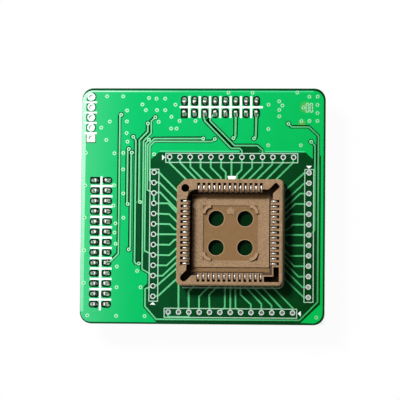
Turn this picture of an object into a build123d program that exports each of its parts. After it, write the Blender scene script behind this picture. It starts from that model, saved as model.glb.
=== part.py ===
"""Adapter board for a chip programmer.

A small green circuit board carries a moulded 52-way chip-carrier socket in the middle of a
square ring of plated holes. Two double-row socket strips hang under the board and plug onto
the programmer. The socket's contacts are sprung: their arms lean out when a chip is pressed in.

Millimetres. X runs to the right and Y up the board, seen from its component side, which faces +Z.
The origin is the middle of the board's outline, on the surface that the socket strips stand on.
"""
from build123d import *
from math import sqrt
import os

# Board outline
board_length = 60.0
board_width = 58.0
board_thickness = 1.6
board_corner_radius = 2.8

# Hole grid, ring of test holes around the chip socket, and the row of holes in the corner
pitch = 2.54
ring_to_right_edge = 23.0
ring_to_lower_edge = 22.0
ring_half_span = 19.05
ring_holes_per_side = 13
ring_hole_diameter = 0.9
corner_row_to_left_edge = 2.21
corner_row_to_upper_edge = 2.13
corner_row_holes = 5
corner_hole_diameter = 1.1
hole_sides = 8

# Socket strips under the board
strip_height = 8.5
strip_width = 5.0
strip_end_margin = 0.25
left_strip_to_left_edge = 4.92
left_strip_to_lower_edge = 19.96
left_strip_ways = 13
top_strip_to_right_edge = 25.86
top_strip_to_upper_edge = 4.63
top_strip_ways = 8

# One way of a socket strip
strip_mouth = 1.0
fork_thickness = 0.18
fork_width = 0.6
fork_clearance = 0.05
fork_shoulder_depth = 1.45
fork_bridge = 0.4
fork_depth = 5.0
strip_tail_thickness = 0.3
strip_tail_above_board = 1.25
tail_hole_clearance = 0.3

# Solder on the strip tails
strip_solder_length = 2.0
strip_solder_width = 1.4
strip_solder_height = 0.95
strip_solder_neck = 0.8
strip_solder_offset = 0.25

# Chip socket housing, heights from the board's top face
socket_shift_y = 0.3
socket_size = 25.9
socket_height = 5.1
socket_standoff = 0.3
socket_foot = 2.2
socket_top_chamfer = 0.25
key_chamfer = 1.9
corner_radius_ne = 1.0
corner_radius_se = 1.3
corner_radius_sw = 1.2
slab_top = 1.1
rib_lead_in = 0.35
cavity_corner_room = 0.6
cavity_key_radius = 2.6

# Contact slots in the housing, which leave a wall outside them
contact_pitch = 1.27
contact_end_room = 5.33
socket_wall = 0.9
slot_width = 0.72
slot_depth = 2.15
tail_slot_clearance = 0.15
crank_channel_top = 0.8

# Stepped floor of the housing, from the moat under the contacts inwards
moat_width = 0.44
floor_edge_width = 1.11
floor_edge_top = 1.3
floor_rim_width = 1.63
floor_top = 1.7
recess_depth = 0.25
floor_hole_diameter = 3.85
floor_hole_offset = 3.55
lug_inset = 1.94
lug_outer_radius = 2.05
lug_inner_radius = 1.37
lug_height = 0.45
arrow_tip_gap = 0.27
arrow_head_length = 1.05
arrow_stem_length = 0.75
arrow_half_width = 1.25
arrow_stem_half_width = 0.9
arrow_height = 0.15

# Corner pockets of the housing
key_hole_diameter = 1.95
key_hole_inset_x = 2.05
key_hole_inset_y = 2.2
tool_slot_ne_width = 1.5
tool_slot_ne_wall = 1.76
tool_slot_ne_radius = 0.35
tool_slot_sw_width = 1.8
tool_slot_sw_inset = 0.95
ell_gap = 0.42
ell_leg = 1.35
ell_wall = 0.3

# Sprung contacts
strip_metal = 0.25
contact_width = 0.5
arm_back_room = 0.495
crank_height = 0.6
tail_top = 1.3
arm_gap = 0.05
arm_shoulder_height = 4.05
arm_crown_height = 4.48
arm_crown_setback = 0.28
arm_crown_width = 0.55
arm_nose_gap = 0.05
arm_nose_height = 2.9
arm_tip_setback = 0.3
arm_tip_height = 2.0
tail_below_board = 1.4

# A cut runs this far past the face that it opens, and a rounded corner takes this share of its room
overrun = 1.0
corner_share = 0.99

# Places on the board
board_bottom = strip_height
board_top = board_bottom + board_thickness
ring_x = board_length / 2 - ring_to_right_edge
ring_y = ring_to_lower_edge - board_width / 2
corner_row_x = corner_row_to_left_edge - board_length / 2
corner_row_y = board_width / 2 - corner_row_to_upper_edge
left_strip_x = left_strip_to_left_edge - board_length / 2
left_strip_y = left_strip_to_lower_edge - board_width / 2
top_strip_x = board_length / 2 - top_strip_to_right_edge
top_strip_y = board_width / 2 - top_strip_to_upper_edge
socket_y = ring_y + socket_shift_y

# Distances from the socket's middle, from its outer wall inwards
slot_reach = socket_size / 2 - socket_wall
outer_tail_row = slot_reach - arm_back_room - strip_metal / 2
inner_tail_row = outer_tail_row - pitch
rib_reach = slot_reach - slot_depth
cavity_corner_reach = rib_reach + cavity_corner_room
floor_half = rib_reach - moat_width
floor_step_half = floor_half - floor_edge_width
recess_half = floor_step_half - floor_rim_width
recess_floor = floor_top - recess_depth
tail_bottom = -board_thickness - tail_below_board

# Contacts along each side of the socket. Every second one has its tail in the inner row
side_turns = {"north": 0, "west": 90, "south": 180, "east": 270}
contacts_per_side = 1 + round((socket_size - 2 * contact_end_room) / contact_pitch)
contact_places = [(i - (contacts_per_side - 1) / 2) * contact_pitch for i in range(contacts_per_side)]
outer_contact_places = contact_places[0::2]
inner_contact_places = contact_places[1::2]
last_slot_edge = contact_places[-1] + slot_width / 2
ell_inner = last_slot_edge + ell_gap
ell_face = slot_reach - ell_leg - ell_wall


def in_socket(shape):
    """Moves a shape from the socket's own frame, on the board's top face, into the part's."""
    return Pos(ring_x, socket_y, board_top) * shape


def on_side(shape, turn):
    """Turns a shape that is drawn on the socket's north side onto another side."""
    return Rot(0, 0, turn) * shape


def prism(sketch, bottom, top, taper=0.0):
    """Extrudes a flat sketch between two heights."""
    return extrude(Pos(0, 0, bottom) * sketch, amount=top - bottom, taper=taper)


def bent_strip(line, thickness, width):
    """A strip bent along a line of (Y, Z) points, with mitred corners, centred on X = 0."""
    points = [Vector(0, y, z) for y, z in line]
    runs = [(b - a).normalized() for a, b in zip(points, points[1:])]
    left, right = [], []
    for i, point in enumerate(points):
        before, after = runs[max(i - 1, 0)], runs[min(i, len(runs) - 1)]
        across = (before + after).normalized().rotate(Axis.X, 90)
        half = thickness / 2 / sqrt((1 + before.dot(after)) / 2)
        left.append(point + across * half)
        right.append(point - across * half)
    outline = make_face(Polyline(*left, *reversed(right), close=True))
    return extrude(outline, amount=width / 2, dir=(1, 0, 0), both=True)


def side_profile(outline, width):
    """A flat outline of (X, Z) points, given its width along Y, centred on Y = 0."""
    face = make_face(Polyline(*[(x, 0, z) for x, z in outline], close=True))
    return extrude(face, amount=width / 2, dir=(0, 1, 0), both=True)


def strip_places(centre_x, centre_y, ways, row, turned):
    """Places of one row of a double-row strip. Row is +1 or -1, and a turned strip runs along X."""
    across = row * pitch / 2
    for i in range(ways):
        along = (i - (ways - 1) / 2) * pitch
        if turned:
            yield centre_x + along, centre_y + across
        else:
            yield centre_x + across, centre_y - along


def ring_rows():
    """Places of the plated holes around the socket, one list for each of the four rows."""
    half = (ring_holes_per_side - 1) / 2
    along = [(i - half) * pitch for i in range(ring_holes_per_side)]
    for reach in (-ring_half_span, ring_half_span):
        yield [(ring_x + step, ring_y + reach) for step in along]
        yield [(ring_x + reach, ring_y + step) for step in along]


def corner_row():
    """Places of the plated holes in the corner row."""
    return [(corner_row_x, corner_row_y - i * pitch) for i in range(corner_row_holes)]


def row_of_holes(places, diameter):
    """Open holes of one row. Eight flats around the bore keep the mesh of the board light."""
    bore = RegularPolygon(diameter / 2, hole_sides, major_radius=False)
    return [Pos(x, y) * bore for x, y in places]


def socket_tail_places():
    """Places of the chip socket's tails in the board."""
    spots = [Vector(place, outer_tail_row, 0) for place in outer_contact_places]
    spots += [Vector(place, inner_tail_row, 0) for place in inner_contact_places]
    for turn in side_turns.values():
        for spot in spots:
            turned = spot.rotate(Axis.Z, turn)
            yield ring_x + turned.X, socket_y + turned.Y


STRIPS = {
    "left_header": (left_strip_x, left_strip_y, left_strip_ways, False, ("west", "east")),
    "top_header": (top_strip_x, top_strip_y, top_strip_ways, True, ("south", "north")),
}


def circuit_board():
    """Glass-epoxy board with every plated hole. The soldered holes are drawn square."""
    outline = RectangleRounded(board_length, board_width, board_corner_radius)
    holes = row_of_holes(corner_row(), corner_hole_diameter)
    for row in ring_rows():
        holes += row_of_holes(row, ring_hole_diameter)
    strip_hole = fork_width + tail_hole_clearance
    for centre_x, centre_y, ways, turned, row_names in STRIPS.values():
        for row in (-1, 1):
            for x, y in strip_places(centre_x, centre_y, ways, row, turned):
                holes.append(Pos(x, y) * Rectangle(strip_hole, strip_hole))
    socket_hole = contact_width + tail_hole_clearance
    holes += [Pos(x, y) * Rectangle(socket_hole, socket_hole) for x, y in socket_tail_places()]
    return prism(outline - holes, board_bottom, board_top)


def strip_housing(centre_x, centre_y, ways, turned):
    """Black moulding of a double-row socket strip. A square hole runs right through it at each
    way: a pin enters at the bottom, and the contact was pushed in from the top."""
    length = ways * pitch + 2 * strip_end_margin
    outline = Rectangle(length, strip_width) if turned else Rectangle(strip_width, length)
    mouth = Rectangle(strip_mouth, strip_mouth)
    mouths = [
        Pos(x, y) * mouth
        for row in (-1, 1)
        for x, y in strip_places(centre_x, centre_y, ways, row, turned)
    ]
    return prism(Pos(centre_x, centre_y) * outline - mouths, 0, strip_height)


def strip_fork(turned):
    """Stamped contact of a socket strip: two leaves that grip the pin, and a tail through the board."""
    outer = strip_mouth / 2 - fork_clearance
    inner = outer - fork_thickness
    shoulder = strip_height - fork_shoulder_depth
    leaf_end = shoulder - fork_depth
    tail = strip_tail_thickness / 2
    half = [
        (tail, board_top + strip_tail_above_board),
        (tail, shoulder),
        (outer, shoulder),
        (outer, leaf_end),
        (inner, leaf_end),
        (inner, shoulder - fork_bridge),
    ]
    outline = half + [(-x, z) for x, z in reversed(half)]
    return Rot(0, 0, 90 if turned else 0) * side_profile(outline, fork_width)


def solder_slopes(foot_length, foot_middle, width):
    """Solder seen from one side: it narrows evenly from its foot to its neck."""
    outline = [
        (foot_middle - foot_length / 2, 0),
        (foot_middle + foot_length / 2, 0),
        (strip_solder_neck / 2, strip_solder_height),
        (-strip_solder_neck / 2, strip_solder_height),
    ]
    return side_profile(outline, width)


def strip_solder(row, turned):
    """Solder fillet that climbs a strip's tail on the component side, drawn out along its pad."""
    along = solder_slopes(strip_solder_length, row * strip_solder_offset, strip_solder_width)
    across = solder_slopes(strip_solder_width, 0, strip_solder_length + 2 * strip_solder_offset)
    fillet_solid = along & Rot(0, 0, 90) * across
    fillet_solid -= Box(strip_tail_thickness, fork_width, 2 * (strip_solder_height + overrun))
    return Pos(0, 0, board_top) * Rot(0, 0, 90 if turned else 0) * fillet_solid


def socket_outline():
    """Outline of the chip socket: one corner is cut off to show where contact 1 lies."""
    half = socket_size / 2
    outline = Rectangle(socket_size, socket_size)
    corners = {
        (-1, 1): lambda face, corner: chamfer(corner, key_chamfer),
        (1, 1): lambda face, corner: fillet(corner, corner_radius_ne),
        (1, -1): lambda face, corner: fillet(corner, corner_radius_se),
        (-1, -1): lambda face, corner: fillet(corner, corner_radius_sw),
    }
    for (x, y), cut in corners.items():
        corner = outline.vertices().sort_by_distance((x * half, y * half, 0))[0]
        outline = cut(outline, corner)
    return outline


def corner_square(near, far, x, y):
    """Square between two distances from the socket's middle, in the corner given by two signs."""
    middle = (near + far) / 2
    return Pos(x * middle, y * middle) * Rectangle(far - near, far - near)


def cavity_outline():
    """Chip cavity above the slab: the middle, the 52 contact slots and the four corner pockets."""
    cavity = Sketch() + Rectangle(2 * rib_reach, 2 * rib_reach)
    slot_length = slot_depth + overrun
    slot = Rectangle(slot_width, slot_length)
    slots = [Pos(place, slot_reach - slot_length / 2) * slot for place in contact_places]
    cavity += [on_side(slot, turn) for turn in side_turns.values() for slot in slots]
    pockets = [corner_square(last_slot_edge, cavity_corner_reach, x, y) for x, y in ((1, 1), (-1, -1))]
    key_pocket = corner_square(last_slot_edge, cavity_corner_reach, -1, 1)
    key_corner = key_pocket.vertices().sort_by_distance((-socket_size, socket_size, 0))[0]
    widest = corner_share * (cavity_corner_reach - last_slot_edge)
    pockets.append(fillet(key_corner, min(cavity_key_radius, widest)))
    pockets.append(corner_square(last_slot_edge, ell_face, 1, -1))
    return cavity + pockets


def corner_cuts():
    """Pockets in the housing's four corners: key hole, two slots for a chip puller, and an L."""
    half = socket_size / 2
    key_hole = Pos(key_hole_inset_x - half, half - key_hole_inset_y) * Circle(key_hole_diameter / 2)

    diagonal = sqrt(2)
    start = last_slot_edge * diagonal
    ne_length = half * diagonal - tool_slot_ne_wall - start
    ne_slot = Rectangle(ne_length, tool_slot_ne_width)
    ne_slot = fillet(ne_slot.vertices().sort_by(Axis.X)[-2:], tool_slot_ne_radius)
    ne_slot = Rot(0, 0, 45) * Pos(start + ne_length / 2, 0) * ne_slot

    sw_length = (slot_reach - tool_slot_sw_inset) * diagonal - start
    sw_slot = Rectangle(sw_length, tool_slot_sw_width)
    sw_slot += Pos(sw_length / 2, 0) * Circle(tool_slot_sw_width / 2)
    sw_slot = Rot(0, 0, 225) * Pos(start + sw_length / 2, 0) * sw_slot

    ell_length = slot_reach - ell_inner
    leg = Rectangle(ell_length, ell_leg)
    ell = Pos(slot_reach - ell_length / 2, ell_leg / 2 - slot_reach) * leg
    ell += Pos(slot_reach - ell_leg / 2, ell_length / 2 - slot_reach) * Rot(0, 0, 90) * leg
    return [key_hole, ne_slot, sw_slot, ell]


def tail_openings():
    """Along each side, a slot through the slab for the tails and a channel for the cranked ones."""
    radial = strip_metal + 2 * tail_slot_clearance
    slot = Pos(0, outer_tail_row) * Rectangle(2 * last_slot_edge, radial)
    channel = Pos(0, (outer_tail_row + inner_tail_row) / 2) * Rectangle(2 * last_slot_edge, pitch + radial)
    cuts = []
    for turn in side_turns.values():
        cuts.append(prism(on_side(slot, turn), socket_standoff, slab_top))
        cuts.append(prism(on_side(channel, turn), socket_standoff, crank_channel_top))
    return cuts


def quarter_lug(x, y):
    """Raised quarter ring beside a floor hole, which stiffens the floor's corner."""
    ring = Circle(lug_outer_radius) - Circle(lug_inner_radius)
    quarter = ring & corner_square(0, lug_outer_radius, x, y)
    lug_offset = recess_half - lug_inset
    return prism(Pos(x * lug_offset, y * lug_offset) * quarter, recess_floor, floor_top + lug_height)


def floor_arrow():
    """Raised arrow in the recess that points at the middle of the chip's first side."""
    tip = recess_half - arrow_tip_gap
    shoulder = tip - arrow_head_length
    half = [
        (arrow_half_width, shoulder),
        (arrow_stem_half_width, shoulder),
        (arrow_stem_half_width, shoulder - arrow_stem_length),
    ]
    outline = Polyline((0, tip), *half, *[(-x, y) for x, y in reversed(half)], close=True)
    return prism(make_face(outline), recess_floor, recess_floor + arrow_height)


def stepped_floor():
    """Floor under the chip: an edge, a higher step and a shallow recess with lugs and an arrow."""
    floor = prism(Rectangle(2 * floor_half, 2 * floor_half), slab_top, floor_edge_top)
    floor += prism(Rectangle(2 * floor_half, 2 * floor_step_half), floor_edge_top, floor_top)
    floor -= prism(Rectangle(2 * recess_half, 2 * recess_half), recess_floor, floor_top)
    floor += prism(corner_square(floor_step_half, ell_face, 1, -1), slab_top, floor_edge_top)
    floor += [quarter_lug(x, y) for x in (-1, 1) for y in (-1, 1)]
    return floor + floor_arrow()


def socket_housing():
    """Tan moulding of the chip socket: slab, slotted walls, stepped floor and corner pockets."""
    housing = prism(socket_outline(), socket_standoff, socket_height)
    housing = chamfer(housing.faces().sort_by(Axis.Z)[-1].outer_wire().edges(), socket_top_chamfer)
    cavity = cavity_outline() + corner_cuts()
    housing -= prism(cavity, slab_top, socket_height)
    housing -= tail_openings()
    lead_in = Rectangle(2 * (rib_reach + rib_lead_in), 2 * (rib_reach + rib_lead_in))
    housing -= extrude(Pos(0, 0, socket_height) * lead_in, amount=-rib_lead_in, taper=45)
    housing += stepped_floor()

    corners = [(x, y) for x in (-1, 1) for y in (-1, 1)]
    hole = Circle(floor_hole_diameter / 2)
    holes = [Pos(x * floor_hole_offset, y * floor_hole_offset) * hole for x, y in corners]
    housing -= prism(Sketch() + holes, socket_standoff, floor_top + lug_height)
    feet = Sketch() + [corner_square(slot_reach - socket_foot, slot_reach, x, y) for x, y in corners]
    return in_socket(housing + prism(feet & socket_outline(), 0, socket_standoff))


def outer_tail():
    """Straight tail of a contact whose hole is in the outer row."""
    return bent_strip([(outer_tail_row, tail_bottom), (outer_tail_row, tail_top)], strip_metal, contact_width)


def inner_tail():
    """Tail that is cranked under the slab to reach a hole in the inner row."""
    line = [
        (inner_tail_row, tail_bottom),
        (inner_tail_row, crank_height),
        (outer_tail_row, crank_height),
        (outer_tail_row, tail_top),
    ]
    return bent_strip(line, strip_metal, contact_width)


def sprung_arm():
    """Upper part of a contact: it rises from its tail, folds over and runs down to the nose."""
    crown = outer_tail_row - arm_crown_setback
    nose = rib_reach + arm_nose_gap
    line = [
        (outer_tail_row, tail_top + arm_gap),
        (outer_tail_row, arm_shoulder_height),
        (crown, arm_crown_height),
        (crown - arm_crown_width, arm_crown_height),
        (nose, arm_nose_height),
        (nose + arm_tip_setback, arm_tip_height),
    ]
    return bent_strip(line, strip_metal, contact_width)


def contact_row(contact, places, turn):
    """Copies of one contact along a side of the socket, as separate solids."""
    return [in_socket(on_side(Pos(place, 0, 0) * contact, turn)) for place in places]


def build():
    """Every sub-part, as a list of solids under its name."""
    parts = {"circuit_board": [circuit_board()], "socket_housing": [socket_housing()]}
    outer, inner, arm = outer_tail(), inner_tail(), sprung_arm()
    for side, turn in side_turns.items():
        parts[f"socket_outer_tails_{side}"] = contact_row(outer, outer_contact_places, turn)
        parts[f"socket_inner_tails_{side}"] = contact_row(inner, inner_contact_places, turn)
        parts[f"socket_arms_{side}"] = contact_row(arm, contact_places, turn)
    for name, (centre_x, centre_y, ways, turned, row_names) in STRIPS.items():
        parts[f"{name}_housing"] = [strip_housing(centre_x, centre_y, ways, turned)]
        fork = strip_fork(turned)
        for row, row_name in zip((-1, 1), row_names):
            places = list(strip_places(centre_x, centre_y, ways, row, turned))
            solder = strip_solder(row, turned)
            parts[f"{name}_forks_{row_name}"] = [Pos(x, y) * fork for x, y in places]
            parts[f"{name}_solder_{row_name}"] = [Pos(x, y) * solder for x, y in places]
    return parts


os.makedirs("parts", exist_ok=True)
for name, pieces in build().items():
    solids = [solid for piece in pieces for solid in piece.solids()]
    export_step(Compound(solids) if len(solids) > 1 else solids[0], f"parts/{name}.step")
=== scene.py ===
"""Looks of a programmer adapter: a green circuit board with a tan chip socket in a ring of
plated holes, and two black socket strips soldered in from below."""
import bmesh
import bpy
from math import cos, pi, radians, sin
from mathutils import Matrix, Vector


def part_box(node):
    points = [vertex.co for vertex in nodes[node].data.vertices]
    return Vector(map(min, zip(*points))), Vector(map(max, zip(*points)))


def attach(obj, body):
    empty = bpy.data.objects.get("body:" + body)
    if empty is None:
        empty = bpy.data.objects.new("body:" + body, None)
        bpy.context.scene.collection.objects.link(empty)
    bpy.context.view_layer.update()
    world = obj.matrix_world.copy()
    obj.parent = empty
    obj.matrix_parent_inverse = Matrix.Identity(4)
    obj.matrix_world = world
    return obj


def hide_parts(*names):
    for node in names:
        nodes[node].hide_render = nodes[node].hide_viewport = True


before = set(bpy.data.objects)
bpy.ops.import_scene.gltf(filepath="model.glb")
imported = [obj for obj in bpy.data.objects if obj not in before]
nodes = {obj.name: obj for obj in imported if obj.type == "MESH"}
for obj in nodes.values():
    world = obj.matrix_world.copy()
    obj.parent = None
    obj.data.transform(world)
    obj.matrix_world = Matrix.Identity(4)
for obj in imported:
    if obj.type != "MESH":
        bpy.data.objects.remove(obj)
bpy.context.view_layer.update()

scene = bpy.context.scene


# Bare board
# Glass-epoxy laminate, 1.6 mm thick, under dark green solder mask where it carries no copper.
# Its sawn edge shows the pale laminate. The CAD solid stays, and gets its finish here.
mm = 0.001
board_low, board_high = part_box("circuit_board")
board_size = (board_high - board_low) / mm
share_to_the_right = 0.75


class Wire:
    """A socket of a node tree. Arithmetic on it adds Math nodes, and node() adds any other."""

    def __init__(self, tree, socket=None):
        self.tree = tree
        self.socket = socket

    def node(self, kind, settings=None, sockets=None, output=0):
        made = self.tree.nodes.new(kind)
        for name, value in (settings or {}).items():
            setattr(made, name, value)
        for name, value in (sockets or {}).items():
            if isinstance(value, Wire):
                self.tree.links.new(value.socket, made.inputs[name])
            else:
                made.inputs[name].default_value = value
        return Wire(self.tree, made.outputs[output])

    def maths(self, operation, *others):
        """A Math node with this wire as its first value."""
        return self.node("ShaderNodeMath", {"operation": operation}, dict(enumerate((self, *others))))

    def maths_after(self, operation, first):
        """A Math node with this wire as its second value."""
        return self.node("ShaderNodeMath", {"operation": operation}, {0: first, 1: self})

    def __add__(self, other):
        return self.maths("ADD", other)

    def __sub__(self, other):
        return self.maths("SUBTRACT", other)

    def __rsub__(self, other):
        return self.maths_after("SUBTRACT", other)

    def __mul__(self, other):
        return self.maths("MULTIPLY", other)

    def __truediv__(self, other):
        return self.maths("DIVIDE", other)

    def __rtruediv__(self, other):
        return self.maths_after("DIVIDE", other)

    def __gt__(self, other):
        return self.maths("GREATER_THAN", other)

    def __lt__(self, other):
        return self.maths("LESS_THAN", other)

    __radd__ = __add__
    __rmul__ = __mul__


class Finish:
    """A material with one Principled shader, whose constant values are set on its own sockets."""

    def __init__(self, name, **constants):
        self.material = bpy.data.materials.new(name)
        self.material.use_nodes = True
        tree = self.material.node_tree
        self.shader = tree.nodes["Principled BSDF"]
        for socket, value in constants.items():
            self.shader.inputs[socket.replace("_", " ").title().replace("Ior", "IOR")].default_value = value
        metres = Wire(tree).node("ShaderNodeTexCoord", output="Object")
        self.place = metres.node(
            "ShaderNodeVectorMath", {"operation": "SCALE"}, {0: metres, "Scale": 1 / mm})

    def part(self, axis):
        """The X, Y or Z of the place, in millimetres."""
        return self.place.node("ShaderNodeSeparateXYZ", sockets={0: self.place}, output=axis)

    def across(self):
        """From 0 at the board's upper left to 1 at its lower right. The greens blended along it darken away
        from the lamps at the upper left: painted light.
        """
        right = (self.part(0) - board_low.x / mm) / board_size.x
        down = (board_high.y / mm - self.part(1)) / board_size.y
        return right * share_to_the_right + down * (1 - share_to_the_right)

    def noise(self, size, detail=2.0, roughness=0.5):
        """Noise from 0 to 1 whose grains are about size millimetres."""
        return self.place.node("ShaderNodeTexNoise", sockets={
            "Vector": self.place, "Scale": 1 / size, "Detail": detail, "Roughness": roughness})

    def mottle(self, size, strength):
        """Noise about zero, with strength as the whole of its range."""
        return self.noise(size) * strength - strength / 2

    def mixed(self, factor, first, second):
        """A blend of two colours, each a wire or a plain colour."""
        colours = [c if isinstance(c, Wire) else (*c, 1) for c in (first, second)]
        return self.place.node("ShaderNodeMix", {"data_type": "RGBA"}, {
            0: factor, 6: colours[0], 7: colours[1]}, output=2)

    def greens(self, left, right, size, strength):
        """A colour that changes across the board, paler at the upper left as painted light, mottled in
        patches of about size millimetres.
        """
        return self.mixed(self.across() + self.mottle(size, strength), left, right)

    def feed(self, **wires):
        """Links wires to the shader's sockets, such as Base_Color or Roughness."""
        for socket, wire in wires.items():
            self.material.node_tree.links.new(wire.socket, self.shader.inputs[socket.replace("_", " ")])

    def surface(self, mask, first, second, smooth, rough):
        """Colour and roughness that both follow a mask, from first and smooth to second and rough."""
        self.feed(Base_Color=self.mixed(mask, first, second), Roughness=mask * (rough - smooth) + smooth)

    def roughened(self, size, depth, detail=2.0):
        """Relief of grains about size millimetres wide and depth millimetres deep."""
        bump = self.place.node("ShaderNodeBump", sockets={
            "Height": self.noise(size, detail), "Distance": depth * mm}, output="Normal")
        self.feed(Normal=bump)


def paint(node, finish):
    """Gives a CAD node its finish."""
    nodes[node].data.materials.clear()
    nodes[node].data.materials.append(finish.material)


bare_left, bare_right, bare_in_socket_shade = (0.002, 0.082, 0.024), (0.0008, 0.034, 0.004), (0.0005, 0.010, 0.002)
laminate, laminate_dark = (0.30, 0.34, 0.12), (0.13, 0.17, 0.05)
ply, ply_share, glass_grain = 0.2, 0.6, 0.25
skin, mask_gloss, sawn_roughness, mask_ripple_depth = 0.01, 0.12, 0.62, 0.002
socket_shade_inset, socket_shade_share = 2, 0.8
socket_low, socket_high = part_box("socket_housing")

bare_mask = Finish("bare_mask")
height = bare_mask.part(2)
edge = (height > board_low.z / mm + skin) * (height < board_high.z / mm - skin)
plies = (height * (2 * pi / ply)).maths("SINE") * 0.5 + 0.5
green = bare_mask.greens(bare_left, bare_right, size=3.0, strength=0.5)
cut = plies * ply_share + bare_mask.noise(glass_grain) * (1 - ply_share)
cut = bare_mask.mixed(cut, laminate, laminate_dark)
# Painted shade: the top face under the chip socket, short of its edges, is darkened as if the socket shaded
# it.
painted_socket_shade = height > board_high.z / mm - skin
for axis in (0, 1):
    place = bare_mask.part(axis)
    painted_socket_shade = painted_socket_shade * (place > socket_low[axis] / mm + socket_shade_inset)
    painted_socket_shade = painted_socket_shade * (place < socket_high[axis] / mm - socket_shade_inset)
green = bare_mask.mixed(painted_socket_shade * socket_shade_share, green, bare_in_socket_shade)
bare_mask.surface(edge, green, cut, smooth=mask_gloss, rough=sawn_roughness)
bare_mask.roughened(size=0.6, depth=mask_ripple_depth)
paint("circuit_board", bare_mask)


# Copper pour
# Sheet of copper under the mask on the left and top of the board and along its right edge, cut
# back around the chip socket. It is one thin slab, a little proud of the bare board.
pour_thickness = 0.020
pour_left, pour_right, pour_painted_light = (0.003, 0.50, 0.148), (0.001, 0.425, 0.066), (0.055, 0.54, 0.205)
pale_from, pale_width = -29.5, 14.5
flux_brown = (0.26, 0.30, 0.02)
flux_spots = ((18.2, 31.4, 1.6), (17.2, 27.5, 1.0))
ring_to_right_edge, ring_to_lower_edge = 23, 22
ring_centre = Vector((
    board_high.x - ring_to_right_edge * mm, board_low.y + ring_to_lower_edge * mm, board_high.z))
pitch = 2.54
corner_x, corner_top, corner_ways, corner_clearance = -34.79, 33.87, 5, 1.25
square_clearance, square_clearance_radius = 1.26, 0.2
pour_mottle, stain_base = 0.4, 0.2
disc_sides, corner_steps = 24, 4
weld_distance = 1e-7
corner_holes = [(corner_x, corner_top - i * pitch) for i in range(corner_ways)]


def on_board(x, y, lift=0.0):
    """A point on the board's top face. X and Y are millimetres from the middle of the ring."""
    return ring_centre + Vector((x, y, lift)) * mm


def arc(centre_x, centre_y, radius, start, end, steps=6):
    """Points of an arc between two angles in degrees."""
    angles = [radians(start + (end - start) * i / steps) for i in range(steps + 1)]
    return [(centre_x + radius * cos(a), centre_y + radius * sin(a)) for a in angles]


def disc(x, y, radius):
    """Outline of a round hole."""
    return arc(x, y, radius, 0, 360 - 360 / disc_sides, disc_sides - 1)


def rounded(left, right, low, high, radius):
    """Outline of a rectangle with round corners."""
    left, right, low, high = left + radius, right - radius, low + radius, high - radius
    corners = ((right, high, 0), (left, high, 90), (left, low, 180), (right, low, 270))
    return [point for x, y, turn in corners for point in arc(x, y, radius, turn, turn + 90, corner_steps)]


def rounded_about(x, y, half_x, half_y, radius):
    """Outline of such a rectangle, from its middle, half its width and half its height."""
    return rounded(x - half_x, x + half_x, y - half_y, y + half_y, radius)


def add_object(name, data):
    made = bpy.data.objects.new(name, data)
    scene.collection.objects.link(made)
    return made


def hand_over(piece, body, slot, *replaced):
    """Tells the frame which body a finished piece rides on, and hides the CAD parts that it stands for. The
    slot is not used.
    """
    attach(piece, body)
    if replaced:
        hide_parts(*replaced)


def add_line(curve, points, closed=False):
    """Adds a line of straight runs to a curve."""
    spline = curve.splines.new("POLY")
    spline.points.add(len(points) - 1)
    spline.use_cyclic_u = closed
    for point, place in zip(spline.points, points):
        point.co = (*place, 1)


def cut_sheet(name, outlines, bottom, top, finish):
    """Thin closed slabs between two heights over the board. An outline inside another is a hole."""
    curve = bpy.data.curves.new(name, "CURVE")
    curve.dimensions, curve.fill_mode, curve.extrude = "2D", "BOTH", (top - bottom) / 2 * mm
    for outline in outlines:
        add_line(curve, [(*on_board(x, y).xy, 0) for x, y in outline], closed=True)
    flat = add_object(name + "_outline", curve)
    bpy.context.view_layer.update()
    shown = flat.evaluated_get(bpy.context.evaluated_depsgraph_get())
    mesh = bpy.data.meshes.new_from_object(shown)
    bpy.data.objects.remove(flat)
    shape = bmesh.new()
    shape.from_mesh(mesh)
    bmesh.ops.remove_doubles(shape, verts=shape.verts, dist=weld_distance)
    bmesh.ops.recalc_face_normals(shape, faces=shape.faces)
    bmesh.ops.translate(shape, verts=shape.verts, vec=(0, 0, board_high.z + (bottom + top) / 2 * mm))
    shape.to_mesh(mesh)
    shape.free()
    mesh.materials.clear()
    mesh.materials.append(finish.material)
    hand_over(add_object(name, mesh), "adapter", "board")


pour = Finish("mask_over_copper", roughness=mask_gloss)
grain = pour.noise(2.2, detail=4)
colour = pour.mixed(pour.across() + (grain - 0.5) * pour_mottle, pour_left, pour_right)
# Painted light: the pour is paler still along its left edge, nearest the lamps.
pale = (1 - (pour.part(0) - pale_from) / pale_width).maths("MAXIMUM", 0.0)
colour = pour.mixed(pale * pale, colour, pour_painted_light)
stain = 0
for x, y, radius in flux_spots:
    spot = on_board(x, y) / mm
    away = pour.place.node(
        "ShaderNodeVectorMath", {"operation": "DISTANCE"}, {0: pour.place, 1: spot}, output="Value")
    patch = (1 - away / radius).maths("MAXIMUM", 0.0)
    stain = stain + patch
pour.feed(Base_Color=pour.mixed(stain * (stain_base + grain), colour, flux_brown))
pour.roughened(size=0.8, depth=mask_ripple_depth)

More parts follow.
